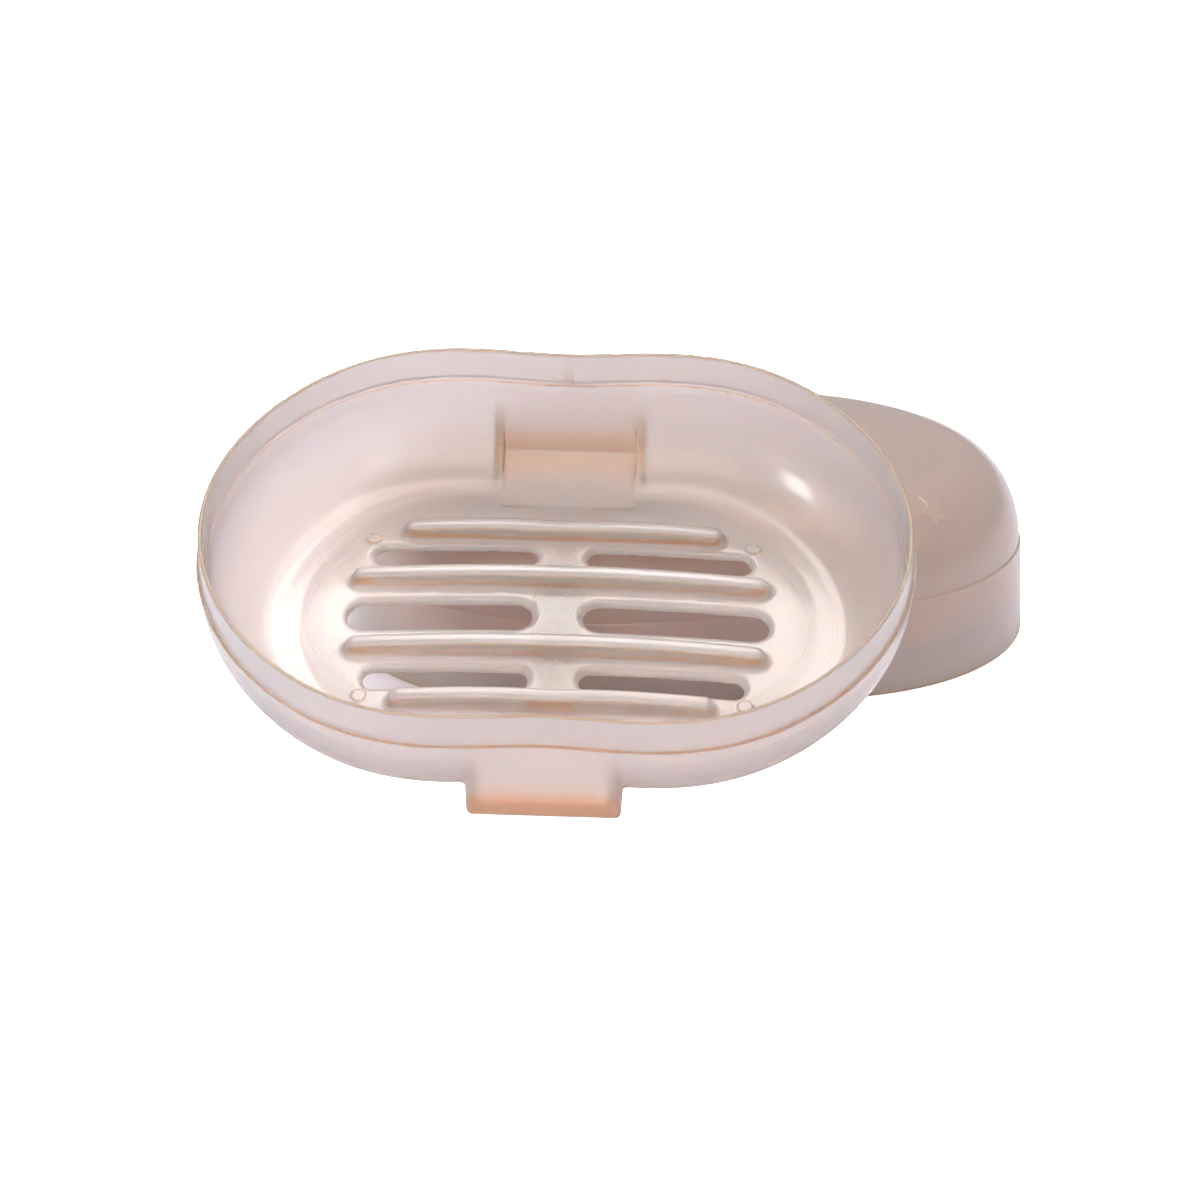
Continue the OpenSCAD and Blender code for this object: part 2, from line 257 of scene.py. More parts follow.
def outline_distance(x, y):
    """Distance outside the outline, less than nought inside: the angle of the nearest outline point is
    found by sliding along the outline until what is left of the way there is square to it."""
    t = np.arctan2(y, x)
    reach = np.hypot(x, y)
    near_middle = reach < MIDDLE_REACH
    for _ in range(NEAREST_ROUNDS):
        radius, slope = outline_radius(t)
        along_x = slope * np.cos(t) - radius * np.sin(t)
        along_y = slope * np.sin(t) + radius * np.cos(t)
        off_x = x - radius * np.cos(t)
        off_y = y - radius * np.sin(t)
        step = (off_x * along_x + off_y * along_y) / (along_x ** 2 + along_y ** 2)
        t = t + np.where(near_middle, 0, np.clip(step, -0.2, 0.2))
    point = outline_point(t, 0)
    inside = reach < outline_radius(np.arctan2(y, x))[0]
    return np.where(inside, -1, 1) * np.hypot(x - point[0], y - point[1])


def blended_min(a, b, reach):
    """The smaller of two distances, run together by a parabola where they are within reach."""
    near = np.clip(reach - np.abs(a - b), 0, None) / reach
    return np.minimum(a, b) - near * near * reach / 4


def blended_max(a, b, reach):
    """The larger of two distances, run together in the same way."""
    return -blended_min(-a, -b, reach)


def crowned_height(x, y, out, base, crown):
    """Height of a crowned oval face: base at the outline moved out, and base plus crown in the middle."""
    edge = np.linalg.norm(outline_point(np.arctan2(y, x), out), axis=0)
    share = np.clip((x * x + y * y) / edge ** 2, 0, 1)
    return base + crown * (1 - share)


def bowl(out, z, wall_out, depth, base, floor):
    """Distance outside a bowl: an upright leaning wall above a quarter of an ellipse above a floor. The
    ellipse's distance is its scaled radius less one, over the slope of that radius."""
    across = out - (wall_out - depth)
    down = CURVE_HEIGHT - z
    rise = CURVE_HEIGHT - base
    scaled = np.hypot(np.clip(across, 1e-6, None) / depth, np.clip(down, 1e-6, None) / rise)
    slope = np.hypot(np.clip(across, 1e-6, None) / depth ** 2, np.clip(down, 1e-6, None) / rise ** 2)
    curve = scaled * (scaled - 1) / slope
    wall = out - (wall_out + TRAY_DRAFT * (z - CURVE_HEIGHT) / (LEDGE_HEIGHT - CURVE_HEIGHT))
    bottom = floor - z
    return np.where(across <= 0, bottom, np.where(down <= 0, wall, curve))


def round_box(x, y, z, low, high, corner):
    """Distance outside a block with rounded edges."""
    middle = [(a + b) / 2 for a, b in zip(low, high)]
    half = [(b - a) / 2 - corner for a, b in zip(low, high)]
    beyond = [np.abs(p - m) - h for p, m, h in zip((x, y, z), middle, half)]
    outside = np.sqrt(sum(np.clip(q, 0, None) ** 2 for q in beyond))
    return outside + np.minimum(np.maximum(np.maximum(*beyond[:2]), beyond[2]), 0) - corner


def from_segment(x, y, half_length):
    """Distance in plan from a segment of the x axis."""
    return np.hypot(np.clip(np.abs(x) - half_length, 0, None), y)


def floor_bead(away, up, half_width, top_half, height):
    """Distance outside a long bead on the floor, from the distance to its middle line in plan: sides
    that lean in on their way up, and a top that meets them in a small curve."""
    lean_in = (half_width - top_half) / height
    side = (away - half_width + lean_in * up) / np.hypot(1, lean_in)
    return blended_max(side, up - height, RIB_TOP_CORNER)


def tray_field(p):
    """Distance outside the tray's plastic at points in the tray's own millimetres: a bowl and its feet,
    less the hollow with its pockets, then the ribs and pips, less the slots and the hollows under the
    ribs. The tray is the same to both sides and both ends."""
    ax, ay, z = np.abs(p[0]), np.abs(p[1]), p[2]
    out = outline_distance(ax, ay)
    floor_out = LEDGE - TRAY_DRAFT - CURVE_DEPTH
    under = crowned_height(ax, ay, floor_out - BASE_RING, 0, FLOOR_CROWN)
    floor = under + WALL
    wall_out = LEDGE - TRAY_DRAFT
    body = blended_max(bowl(out, z, wall_out, CURVE_DEPTH, 0, under), z - LEDGE_HEIGHT, TOP_CORNER)
    band = np.maximum(out, CURVE_HEIGHT - z)
    foot = round_box(ax, ay, z, (-FOOT_WIDTH / 2, FOOT_FACE - FOOT_REACH, -FOOT_STAND),
                     (FOOT_WIDTH / 2, FOOT_FACE, LEDGE_HEIGHT - WALL / 2), FOOT_CORNER)
    outer = blended_min(blended_min(body, band, BAND_FILLET), foot, FOOT_FILLET)
    draft_slope = TRAY_DRAFT / (SHELL_HEIGHT - CURVE_HEIGHT)
    step = INNER_STEP * np.clip((LEDGE_HEIGHT - z) / INNER_STEP, 0, 1)
    hollow_wall = out - (LEDGE - WALL) - draft_slope * (z - SHELL_HEIGHT) + step
    hollow = bowl(out, z, wall_out - WALL - INNER_STEP, CURVE_DEPTH - WALL - INNER_STEP, WALL, floor)
    hollow = np.where((z > CURVE_HEIGHT) & (out > floor_out), hollow_wall, hollow)
    pocket = round_box(ax, ay, z, (-FOOT_WIDTH / 2 + WALL, FOOT_FACE - FOOT_REACH, WALL),
                       (FOOT_WIDTH / 2 - WALL, FOOT_FACE - FOOT_WALL, LEDGE_HEIGHT), POCKET_CORNER)
    hollow = blended_min(hollow, pocket, POCKET_FILLET)
    solid = blended_max(blended_max(outer, z - SHELL_HEIGHT, TOP_CORNER), -hollow, BRIM_CORNER)
    up = z - floor
    rib_lines = [(from_segment(ax, ay - row, length / 2 - RIB_HALF_WIDTH),
                  1 - RIB_FALL / RIB_HEIGHT * (2 * ax / length) ** 2) for row, length in RIB_ROWS]
    for away, share in rib_lines:
        rib = floor_bead(away, up, RIB_HALF_WIDTH, RIB_TOP_HALF, RIB_HEIGHT * share)
        solid = blended_min(solid, np.maximum(rib, -up - WALL / 2), RIB_FILLET)
    for away, share in rib_lines:
        under_rib = floor_bead(away, up, RIB_HALF_WIDTH - RIB_WALL, RIB_TOP_HALF - RIB_WALL * 0.7,
                               RIB_HEIGHT * share - RIB_WALL)
        solid = blended_max(solid, -under_rib, RIB_HOLLOW_CORNER)
    for row, length, width in SLOT_ROWS:
        away = from_segment(ax - (SLOT_BRIDGE + length) / 2, ay - row, (length - width) / 2)
        half = width / 2 + SLOT_TAPER / WALL * np.clip(up, -1.3 * WALL, 0.3 * WALL)
        solid = blended_max(solid, (half - away) / np.hypot(1, SLOT_TAPER / WALL), SLOT_CORNER)
    pip = np.maximum(np.hypot(ax - PIP_PLACE[0], ay - PIP_PLACE[1]) - PIP_RADIUS,
                     np.maximum(up - PIP_HEIGHT, -up - WALL / 2))
    return blended_min(solid, pip, PIP_FILLET)


def field_slope(field, p, step=0.04):
    """The direction in which a field grows and how fast, from its values at the four corners of a small
    tetrahedron round each point."""
    corners = np.array([[1, 1, 1], [1, -1, -1], [-1, 1, -1], [-1, -1, 1]]) * step
    slope = sum(corner[:, None] * field(p + corner[:, None]) for corner in corners) / (4 * step * step)
    size = np.maximum(np.linalg.norm(slope, axis=0), 1e-9)
    return slope / size, size


def sampled_near(field, axes, coarse, reach):
    """The field on a grid. Away from the surface it is taken from the nearest point of a grid with wider
    steps, since only its sign counts there."""
    rough = field(np.stack(np.meshgrid(*(a[::coarse] for a in axes), indexing="ij")).reshape(3, -1))
    rough = rough.reshape([len(a[::coarse]) for a in axes])
    nearest = [np.clip((np.arange(len(a)) + coarse // 2) // coarse, 0, n - 1)
               for a, n in zip(axes, rough.shape)]
    value = rough[np.ix_(*nearest)]
    near = np.argwhere(np.abs(value) < reach)
    value[tuple(near.T)] = field(np.stack([a[i] for a, i in zip(axes, near.T)]))
    return value


def settle(field, points, rounds):
    """Moves points onto the surface, along the field's slope."""
    for _ in range(rounds):
        direction, growth = field_slope(field, points)
        points = points - direction * np.clip(field(points) / np.maximum(growth, 0.3), -0.4, 0.4)
    return points


def skin_of_field(field, low, high, cell):
    """The surface where a field is nought, as quads: one point in each cell of a grid that the surface
    crosses, at the mean of its crossings, and a quad across each grid edge that it crosses. The points
    then slide along the surface towards their neighbours' mean, and are put back on it."""
    axes = [np.arange(a, b + cell, cell) for a, b in zip(low, high)]
    grid = np.stack(np.meshgrid(*axes, indexing="ij"))
    value = sampled_near(field, axes, 4, 4 * cell)
    cells = tuple(n - 1 for n in value.shape)
    total = np.zeros((3,) + cells)
    count = np.zeros(cells)
    crossings = []
    for axis in range(3):
        near = [slice(None)] * 3
        far = [slice(None)] * 3
        near[axis], far[axis] = slice(0, -1), slice(1, None)
        a, b = value[tuple(near)], value[tuple(far)]
        crossed = (a < 0) != (b < 0)
        share = np.where(crossed, a / np.where(crossed, a - b, 1), 0)
        place = grid[(slice(None),) + tuple(near)] * np.ones_like(share)
        place[axis] = place[axis] + share * cell
        sides = [k for k in range(3) if k != axis]
        for i in (0, 1):
            for j in (0, 1):
                pick = [slice(None)] * 3
                pick[sides[0]] = slice(i, cells[sides[0]] + i)
                pick[sides[1]] = slice(j, cells[sides[1]] + j)
                total += np.where(crossed[tuple(pick)], place[(slice(None),) + tuple(pick)], 0)
                count += crossed[tuple(pick)]
        crossings.append((axis, sides, crossed, a < 0))
    used = count > 0
    number = np.full(cells, -1)
    number[used] = np.arange(used.sum())
    points = total[:, used] / count[used]
    quads = []
    for axis, sides, crossed, inside in crossings:
        inner = [slice(None)] * 3
        inner[sides[0]] = slice(1, -1)
        inner[sides[1]] = slice(1, -1)
        where = np.argwhere(crossed[tuple(inner)])
        where[:, sides[0]] += 1
        where[:, sides[1]] += 1
        ring = []
        for i, j in ((0, 0), (1, 0), (1, 1), (0, 1)):
            at = where.copy()
            at[:, sides[0]] -= i
            at[:, sides[1]] -= j
            ring.append(number[tuple(at.T)])
        quad = np.stack(ring, axis=1)
        outward = inside[tuple(where.T)] ^ (axis == 1)
        quads.append(np.where(outward[:, None], quad, quad[:, ::-1]))
    quads = np.concatenate(quads)
    edges = np.concatenate([quads[:, [k, (k + 1) % 4]] for k in range(4)])
    degree = np.bincount(edges.ravel(), minlength=points.shape[1])
    points = settle(field, points, 1)
    for _ in range(2):
        mean = np.stack([np.bincount(edges[:, 0], points[k][edges[:, 1]], points.shape[1])
                         + np.bincount(edges[:, 1], points[k][edges[:, 0]], points.shape[1])
                         for k in range(3)]) / degree
        direction = field_slope(field, points)[0]
        move = mean - points
        points = settle(field, points + 0.5 * (move - direction * (move * direction).sum(axis=0)), 1)
    return points, quads


def thinned(points, quads, triangles):
    """The same skin with fewer, larger triangles where it is flat, down to a number of triangles."""
    mesh = bpy.data.meshes.new("dense_skin")
    mesh.from_pydata(points.T.tolist(), [], quads.tolist())
    dense = bpy.data.objects.new("dense_skin", mesh)
    bpy.context.scene.collection.objects.link(dense)
    modifier = dense.modifiers.new("thin", "DECIMATE")
    modifier.ratio = triangles / (2 * len(quads))
    result = dense.evaluated_get(bpy.context.evaluated_depsgraph_get()).to_mesh()
    result.calc_loop_triangles()
    thin_points = np.empty(3 * len(result.vertices), np.float32)
    faces = np.empty(3 * len(result.loop_triangles), np.int32)
    result.vertices.foreach_get("co", thin_points)
    result.loop_triangles.foreach_get("vertices", faces)
    bpy.data.objects.remove(dense)
    bpy.data.meshes.remove(mesh)
    return thin_points.reshape(-1, 3).T.astype(float), faces.reshape(-1, 3)


def depth_and_painted_glow(field, points, direction, depths):
    """How much plastic lies behind each point of the skin, from 0 to 1: the share of the depths below
    the point that are still inside, with an eased edge."""
    total = sum(np.clip(-field(points - d * direction) / DEPTH_EASE, 0, 1) for d in depths)
    return total / len(depths)


def smooth_mesh(name, points, faces, normals, values):
    """A mesh in metres with its own normals and named point values. Faces come as one array for each
    number of corners."""
    mesh = bpy.data.meshes.new(name)
    mesh.vertices.add(points.shape[1])
    mesh.vertices.foreach_set("co", (points.T * MM).ravel().astype(np.float32))
    sizes = np.concatenate([np.full(len(block), block.shape[1]) for block in faces])
    corners = np.concatenate([block.ravel() for block in faces])
    mesh.loops.add(len(corners))
    mesh.loops.foreach_set("vertex_index", corners.astype(np.int32))
    mesh.polygons.add(len(sizes))
    mesh.polygons.foreach_set("loop_start", (np.cumsum(sizes) - sizes).astype(np.int32))
    mesh.update(calc_edges=True)
    mesh.validate()
    mesh.shade_smooth()
    mesh.normals_split_custom_set_from_vertices(normals.T.tolist())
    for key, value in values.items():
        kind, field_name = ("FLOAT_VECTOR", "vector") if value.ndim == 2 else ("FLOAT", "value")
        layer = mesh.attributes.new(key, kind, "POINT")
        layer.data.foreach_set(field_name, value.T.ravel().astype(np.float32))
    piece = bpy.data.objects.new(name, mesh)
    bpy.context.scene.collection.objects.link(piece)
    return piece


def lean_tray(p):
    """Turns points of the tray back about its long side, to the angle at which it leans."""
    x, y, z = p
    return np.stack([x, y * math.cos(TRAY_LEAN) - z * math.sin(TRAY_LEAN),
                     y * math.sin(TRAY_LEAN) + z * math.cos(TRAY_LEAN)])


def make_tray():
    """The skin worked out in the tray's own millimetres, leant back and set against the CAD node's box:
    its middle from side to side, its back foot, and its front foot's edge on the table."""
    across, over, below = GRID_MARGIN
    low = (-BOX_LENGTH / 2 - across, -WAIST_WIDTH / 2 - over, -FOOT_STAND - below)
    high = (BOX_LENGTH / 2 + across, WAIST_WIDTH / 2 + over, TRAY_HEIGHT + below)
    points, faces = thinned(*skin_of_field(tray_field, low, high, TRAY_CELL), TRAY_TRIANGLES)
    points = settle(tray_field, points, 2)
    direction = field_slope(tray_field, points)[0]
    behind = depth_and_painted_glow(tray_field, points, direction, DEPTHS_BEHIND)
    box_low, box_high = (np.array(c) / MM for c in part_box("soap_tray"))
    back, edge = (lean_tray(np.array([0, y, -FOOT_STAND])) for y in (FOOT_FACE, -FOOT_FACE))
    place = np.array([(box_low[0] + box_high[0]) / 2, box_high[1] - back[1], -edge[2]])
    return smooth_mesh("tray", lean_tray(points) + place[:, None], [faces], lean_tray(direction),
                       {"depth_and_painted_glow": behind, "in_mould": points * MM})


# The plastic's looks: noise scales are per metre, and places and reaches are metres in the mould.
CLOUD_SCALE = 30
CLOUD_SHARE = 0.2
HAZE_SCALE = 110
HAZE_SPREAD = (-0.03, 0.04)
PEEL_SCALE = 1500
PEEL_HEIGHT = 0.00001
SPARK_SCALE = 1300
SPARK_MIDDLE = (0, 0, 0.0034)
SPARK_REACH = (0.0042, 0.018, 0.0018)
RING_MIDDLE = (0, 0, 0.0013)
RING_REACH = (0.045, 0.0285, 0.0035)
RING_INNER = (0.78, 0.86)
RING_OUTER = (1.12, 1.0)
STREAK_SCALE = 170
STREAK_SHARE = 1 / 6


def add_noise(tree, place, scale, detail, distortion=0.0):
    """Values of a noise texture at a place."""
    noise = tree.nodes.new("ShaderNodeTexNoise")
    noise.inputs["Scale"].default_value = scale
    noise.inputs["Detail"].default_value = detail
    noise.inputs["Distortion"].default_value = distortion
    tree.links.new(place, noise.inputs["Vector"])
    return noise.outputs["Fac"]


def make_grain_group():
    """The moulded surface, as values over the skin: Cloud is the slow unevenness of the plastic, Haze
    the faint wear that dulls its gloss, Peel its fine orange peel, Sparks the rough spark-cut patch that
    the mould leaves along the middle of the tray's floor, and Streaks the turned marks in the level ring
    round that floor."""
    group = bpy.data.node_groups.new("moulded_grain", "ShaderNodeTree")
    group.interface.new_socket("Place", in_out="INPUT", socket_type="NodeSocketVector")
    for name in ("Cloud", "Haze", "Peel", "Sparks", "Streaks"):
        group.interface.new_socket(name, in_out="OUTPUT", socket_type="NodeSocketFloat")
    place = group.nodes.new("NodeGroupInput").outputs["Place"]
    end = group.nodes.new("NodeGroupOutput")
    grit = add_noise(group, place, SPARK_SCALE, 3, 1.5)
    patch = soft_step(group, oval_reach(group, place, SPARK_MIDDLE, SPARK_REACH), 1.0, 0.7)
    out = oval_reach(group, place, RING_MIDDLE, RING_REACH)
    lines = group.nodes.new("ShaderNodeTexNoise")
    lines.noise_dimensions = "1D"
    lines.inputs["Scale"].default_value = STREAK_SCALE
    lines.inputs["Detail"].default_value = 2
    group.links.new(out, lines.inputs["W"])
    ring = combine(group, "MULTIPLY", soft_step(group, out, *RING_INNER),
                   soft_step(group, out, *RING_OUTER))
    values = {"Cloud": add_noise(group, place, CLOUD_SCALE, 1),
              "Haze": add_noise(group, place, HAZE_SCALE, 2),
              "Peel": add_noise(group, place, PEEL_SCALE, 1),
              "Sparks": combine(group, "MULTIPLY", patch, grit),
              "Streaks": combine(group, "MULTIPLY", ring, lines.outputs["Fac"])}
    for name, value in values.items():
        group.links.new(value, end.inputs[name])
    return group


GRAIN = make_grain_group()


def bumped(tree, height, distance, normal=None):
    """The normal of a relief of a given distance, laid over an earlier one where there is one."""
    bump = tree.nodes.new("ShaderNodeBump")
    bump.inputs["Distance"].default_value = distance
    tree.links.new(height, bump.inputs["Height"])
    if normal:
        tree.links.new(normal, bump.inputs["Normal"])
    return bump.outputs["Normal"]


def make_plastic(name, colours, clearness, roughness, spark_height, edges):
    """Milky translucent plastic under a glossy skin: most light passes through, blurred, and the rest is
    scattered inside. Its colour deepens from the first through the second to the third as more plastic
    lies behind on the tray, with a painted glow at the bottom rim on the lid, and along painted glow
    bands, each a height in the mould, half a width and a depth of colour."""
    plastic = bpy.data.materials.new(name)
    plastic.use_nodes = True
    tree = plastic.node_tree
    surface = tree.nodes["Principled BSDF"]
    surface.inputs["Transmission Weight"].default_value = clearness
    surface.inputs["Subsurface Weight"].default_value = 1.0
    surface.inputs["Subsurface Radius"].default_value = (1.0, 0.6, 0.4)
    surface.inputs["Subsurface Scale"].default_value = 0.005
    surface.inputs["IOR"].default_value = 1.49
    surface.inputs["Coat Weight"].default_value = 0.7
    surface.inputs["Coat Roughness"].default_value = 0.15
    place = tree.nodes.new("ShaderNodeAttribute")
    place.attribute_name = "in_mould"
    # The point value read here is plastic depth on the tray, and a painted glow at the bottom rim on the
    # lid.
    behind = tree.nodes.new("ShaderNodeAttribute")
    behind.attribute_name = "depth_and_painted_glow"
    grain = tree.nodes.new("ShaderNodeGroup")
    grain.node_tree = GRAIN
    tree.links.new(place.outputs["Vector"], grain.inputs["Place"])
    apart = tree.nodes.new("ShaderNodeSeparateXYZ")
    tree.links.new(place.outputs["Vector"], apart.inputs["Vector"])
    depth = combine(tree, "MULTIPLY_ADD", grain.outputs["Cloud"], CLOUD_SHARE, behind.outputs["Fac"])
    # Painted glow: each band deepens the colour within its half width of its height in the mould.
    for height, half_width, strength in edges:
        away = combine(tree, "ABSOLUTE", combine(tree, "SUBTRACT", apart.outputs["Z"], height * MM))
        depth = combine(tree, "ADD", depth, soft_step(tree, away, half_width * MM, 0.0, strength))
    colour = tree.nodes.new("ShaderNodeValToRGB")
    stops = colour.color_ramp.elements
    stops[0].position = 0.1
    stops[1].position = 0.6
    stops.new(1.0)
    for stop, shade in zip(stops, colours):
        stop.color = (*shade, 1)
    tree.links.new(depth, colour.inputs["Fac"])
    tree.links.new(colour.outputs["Color"], surface.inputs["Base Color"])
    gloss = tree.nodes.new("ShaderNodeMapRange")
    gloss.inputs["From Min"].default_value = 0.3
    gloss.inputs["From Max"].default_value = 0.7
    gloss.inputs["To Min"].default_value = roughness + HAZE_SPREAD[0]
    gloss.inputs["To Max"].default_value = roughness + HAZE_SPREAD[1]
    tree.links.new(grain.outputs["Haze"], gloss.inputs["Value"])
    tree.links.new(gloss.outputs["Result"], surface.inputs["Roughness"])
    relief = bumped(tree, grain.outputs["Sparks"], spark_height)
    relief = bumped(tree, grain.outputs["Streaks"], spark_height * STREAK_SHARE, relief)
    relief = bumped(tree, grain.outputs["Peel"], PEEL_HEIGHT, relief)
    tree.links.new(relief, surface.inputs["Normal"])
    return plastic


tray = make_tray()
TRAY_COLOURS = ((0.935, 0.86, 0.855), (0.99, 0.82, 0.72), (0.98, 0.55, 0.33))
# Painted glow bands: thin orange lines of painted glow at the rim's top edge and at the ledge, where light
# passing through the plastic shows, and a broad band of painted warm light over the lower part of the tray
# round its floor. Each is a height, a half width and a depth of colour.
TRAY_GLOW_BANDS = ((SHELL_HEIGHT, 0.4, 1.0), (LEDGE_HEIGHT, 0.3, 0.8), (1.5, 9.0, 0.3))
tray.data.materials.append(make_plastic(
    "peach_plastic", TRAY_COLOURS, clearness=0.8, roughness=0.42, spark_height=0.0006, edges=TRAY_GLOW_BANDS))
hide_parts("soap_tray")
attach(tray, "tray")

# The lid is one moulding in the same plastic: a thin skirt that slides over the tray's band, a wall up
# to a small step, a round shoulder and a slightly domed top, with a raised star on the shoulder.
LID_TURN = math.radians(16)
LID_RIM_OUT = 0.89
LID_DRAFT = 0.5
SKIRT_GAP = 0.15
SKIRT_DEPTH = 7.6
CREASE_HEIGHT = 14.6
CREASE_STEP = 0.3
CREASE_OUT = LID_RIM_OUT - LID_DRAFT
SHOULDER_DEPTH = 12.4
SHOULDER_RISE = 14.9
FLAT_HEIGHT = CREASE_HEIGHT + SHOULDER_RISE
TOP_OUT = CREASE_OUT - CREASE_STEP - SHOULDER_DEPTH
TOP_CROWN = 1.5
RIM_CORNER = 0.22
RIM_GLOW = 1.2
STAR_RADIUS = 3.3
STAR_INNER_SHARE = 0.42
STAR_HEIGHT = 0.3
STAR_TURN = math.radians(317)
STAR_CLIMB = math.radians(53)
STAR_TILT = math.radians(30)
STAR_EDGE = 0.3
STAR_CLIMB_ZONE = (0.24, 44)
STAR_TURN_ZONE = (math.radians(6.5), 60)
LID_AROUND = 300
SHOULDER_STEPS = 64
CROWN_STEPS = 16


def quarter_curve(out, height, depth, rise, angles):
    """A quarter of an ellipse from an upright wall to a level face: out falls with one less the cosine,
    and the height grows with the sine."""
    return np.stack([out - depth * (1 - np.cos(angles)), np.ones_like(angles),
                     height + rise * np.sin(angles)])


def crowned_rings(out, height, crown, scales):
    """Rings of one outline drawn in by a scale, on a dome that rises by one less the scale squared."""
    return np.stack([np.full_like(scales, out), scales, height + crown * (1 - scales ** 2)])


def straight(a, b, count):
    """Points from a to b, both of [out, height], drawn at full scale."""
    share = np.linspace(0, 1, count)
    return np.stack([a[0] + (b[0] - a[0]) * share, np.ones(count), a[1] + (b[1] - a[1]) * share])


def small_corner(middle, radius, start, end):
    """An arc of a small corner between two angles, as seen in the wall's section."""
    angle = np.linspace(math.radians(start), math.radians(end), 5)
    return np.stack([middle[0] + radius * np.cos(angle), np.ones(5), middle[1] + radius * np.sin(angle)])


def star_distance(u, v):
    """Distance outside a five-pointed star: both coordinates are folded into one half of one arm, and the
    distance is taken from the line between the arm's point and the notch beside it."""
    angle = np.mod(np.arctan2(v, u), 2 * np.pi / 5)
    angle = np.minimum(angle, 2 * np.pi / 5 - angle)
    reach = np.hypot(u, v)
    x, y = reach * np.cos(angle), reach * np.sin(angle)
    notch = STAR_INNER_SHARE * STAR_RADIUS
    notch_x, notch_y = notch * math.cos(math.pi / 5), notch * math.sin(math.pi / 5)
    edge_x, edge_y = notch_x - STAR_RADIUS, notch_y
    length = math.hypot(edge_x, edge_y)
    return ((x - STAR_RADIUS) * edge_y - y * edge_x) / length


def denser(low, high, count, middle, half, extra):
    """Even steps, with more of them within half of one place."""
    dense = np.linspace(middle - half, middle + half, extra)
    return np.unique(np.concatenate([np.linspace(low, high, count), dense]))


def lid_section(climb):
    """The wall's section as [out, scale, height], from the middle of the ceiling round the rim to the
    middle of the top, and how many of its points are on the outside."""
    skirt_top = LID_RIM_OUT - LID_DRAFT * SKIRT_DEPTH / CREASE_HEIGHT
    inner_out = CREASE_OUT - WALL
    scales = np.linspace(1, 0, CROWN_STEPS + 2)[1:-1]
    corner = RIM_CORNER
    level = np.linspace(np.pi / 2, 0, SHOULDER_STEPS)
    inside = np.concatenate([
        crowned_rings(TOP_OUT, FLAT_HEIGHT - WALL, TOP_CROWN, scales[::-1]),
        quarter_curve(inner_out, CREASE_HEIGHT, inner_out - TOP_OUT, SHOULDER_RISE - WALL, level),
        straight((inner_out, CREASE_HEIGHT - 0.3), (skirt_top - WALL, SKIRT_DEPTH + corner), 8),
        small_corner((skirt_top - WALL + corner, SKIRT_DEPTH + corner), corner, 180, 270),
        small_corner((SKIRT_GAP - corner / 2, SKIRT_DEPTH - corner / 2), corner / 2, 90, 0),
        straight((SKIRT_GAP, SKIRT_DEPTH - 0.3), (SKIRT_GAP, 0.4), 8)], axis=1)
    rim = np.concatenate([
        small_corner((SKIRT_GAP + corner, corner), corner, 180, 270),
        small_corner((LID_RIM_OUT - corner, corner), corner, 270, 360)], axis=1)
    outside = np.concatenate([
        straight((LID_RIM_OUT - 0.01, 0.4), (CREASE_OUT + 0.01, CREASE_HEIGHT - 0.35), 16),
        small_corner((CREASE_OUT - CREASE_STEP, CREASE_HEIGHT - CREASE_STEP), CREASE_STEP, 0, 80),
        quarter_curve(CREASE_OUT - CREASE_STEP, CREASE_HEIGHT, SHOULDER_DEPTH, SHOULDER_RISE, climb),
        crowned_rings(TOP_OUT, FLAT_HEIGHT, TOP_CROWN, scales)], axis=1)
    return np.concatenate([inside, rim, outside], axis=1), outside.shape[1]


def grid_normals(grid):
    """Normals of a surface given as rows of points that close round each row."""
    along = np.roll(grid, -1, axis=2) - np.roll(grid, 1, axis=2)
    normal = np.cross(along, np.gradient(grid, axis=1), axis=0)
    return normal / np.linalg.norm(normal, axis=0)


def star_rise(grid, normal):
    """How far each point of the lid rises into the star, from 0 to 1. The star is drawn on the plane that
    touches the shoulder at its middle, and only points on the outside that face its way count."""
    star_out = CREASE_OUT - CREASE_STEP - SHOULDER_DEPTH * (1 - math.cos(STAR_CLIMB))
    star_height = CREASE_HEIGHT + SHOULDER_RISE * math.sin(STAR_CLIMB)
    middle = np.append(outline_point(STAR_TURN, star_out), star_height)
    side = outline_point(STAR_TURN + 0.01, star_out) - outline_point(STAR_TURN - 0.01, star_out)
    side = np.append(side / np.linalg.norm(side), 0)
    offset = grid - middle[:, None, None]
    facing = normal.reshape(3, -1)[:, np.argmin((offset ** 2).sum(axis=0))]
    u, v = np.tensordot(side, offset, 1), np.tensordot(np.cross(facing, side), offset, 1)
    spin_u = u * math.cos(STAR_TILT) + v * math.sin(STAR_TILT)
    spin_v = v * math.cos(STAR_TILT) - u * math.sin(STAR_TILT)
    rise = np.clip(0.5 - star_distance(spin_u, spin_v) / STAR_EDGE, 0, 1)
    on_shoulder = (np.tensordot(facing, offset, 1) > -WALL * 0.9) * (normal.T @ facing > 0.3).T
    return rise * rise * (3 - 2 * rise) * on_shoulder


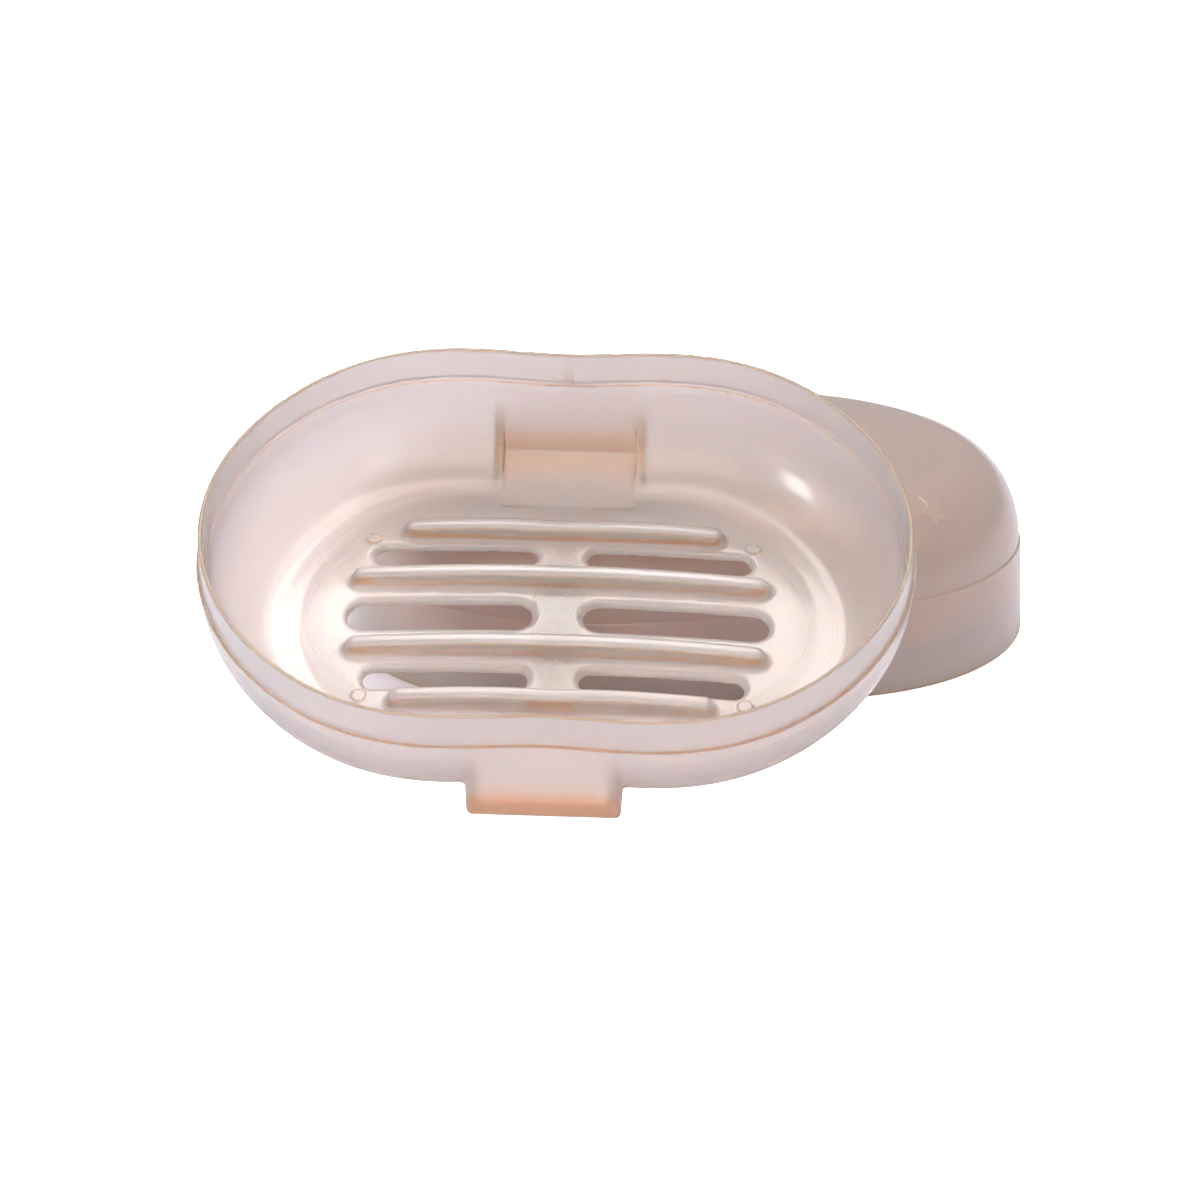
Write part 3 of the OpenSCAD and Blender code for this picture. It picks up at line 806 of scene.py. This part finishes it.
def make_lid():
    """The section carried round the outline, with the star raised on its shoulder, turned and set on the
    table in the middle of the CAD node's box."""
    climb = denser(0, np.pi / 2, SHOULDER_STEPS, STAR_CLIMB, *STAR_CLIMB_ZONE)
    section, outside_rows = lid_section(climb)
    rows = section.shape[1]
    around = denser(0, 2 * np.pi, LID_AROUND + 1, STAR_TURN, *STAR_TURN_ZONE)[:-1]
    columns = len(around)
    turned = np.broadcast_to(around, (rows, columns))
    flat_points = section[1][:, None] * outline_point(turned, section[0][:, None])
    grid = np.concatenate([flat_points, (section[2][:, None] + 0 * around)[None]])
    normal = grid_normals(grid)
    outer = np.arange(rows) >= rows - outside_rows
    grid = grid + STAR_HEIGHT * star_rise(grid, normal) * outer[:, None] * normal
    normal = grid_normals(grid)
    number = np.arange(rows * columns).reshape(rows, columns)
    after = np.roll(number, -1, axis=1)
    quads = np.stack([number[:-1], after[:-1], after[1:], number[1:]], axis=-1).reshape(-1, 4)
    poles = rows * columns + np.arange(2)
    first = np.stack([after[0], number[0], np.full(columns, poles[0])], axis=1)
    last = np.stack([number[-1], after[-1], np.full(columns, poles[1])], axis=1)
    ends = np.array([[0, 0, FLAT_HEIGHT - WALL + TOP_CROWN], [0, 0, FLAT_HEIGHT + TOP_CROWN]]).T
    points = np.concatenate([grid.reshape(3, -1), ends], axis=1)
    normals = np.concatenate([normal.reshape(3, -1), np.array([[0, 0, -1], [0, 0, 1]]).T], axis=1)
    # Painted glow: the lid's colour deepens over its lowest 1.2 mm, at its bottom rim, standing in for
    # light glowing through the plastic there. This painted glow, not plastic lying behind, is what the
    # lid's depth value holds.
    painted_rim_glow = np.clip(1 - section[2] / RIM_GLOW, 0, 1)
    behind = np.append(np.repeat(painted_rim_glow, columns), [0, 0])
    box_low, box_high = (np.array(c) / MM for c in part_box("lid"))
    spin = np.array([[math.cos(LID_TURN), -math.sin(LID_TURN), 0],
                     [math.sin(LID_TURN), math.cos(LID_TURN), 0], [0, 0, 1]])
    place = np.append((box_low[:2] + box_high[:2]) / 2, 0)
    return smooth_mesh("lid_shell", spin @ points + place[:, None], [quads, np.concatenate([first, last])],
                       spin @ normals, {"depth_and_painted_glow": behind, "in_mould": points * MM})


lid = make_lid()
LID_COLOURS = ((0.71, 0.53, 0.47), (0.82, 0.57, 0.44), (0.92, 0.52, 0.34))
# Painted glow bands: thin orange lines of painted glow along the lid's bottom rim, its skirt step and its
# crease, where light passing through the plastic shows. Each is a height, a half width and a depth of
# colour.
LID_GLOW_BANDS = ((0.0, 0.5, 0.9), (SKIRT_DEPTH, 0.3, 0.25), (CREASE_HEIGHT, 0.25, 0.3))
lid.data.materials.append(make_plastic(
    "lid_plastic", LID_COLOURS, clearness=0.5, roughness=0.4, spark_height=0.0, edges=LID_GLOW_BANDS))
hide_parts("lid")
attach(lid, "lid")
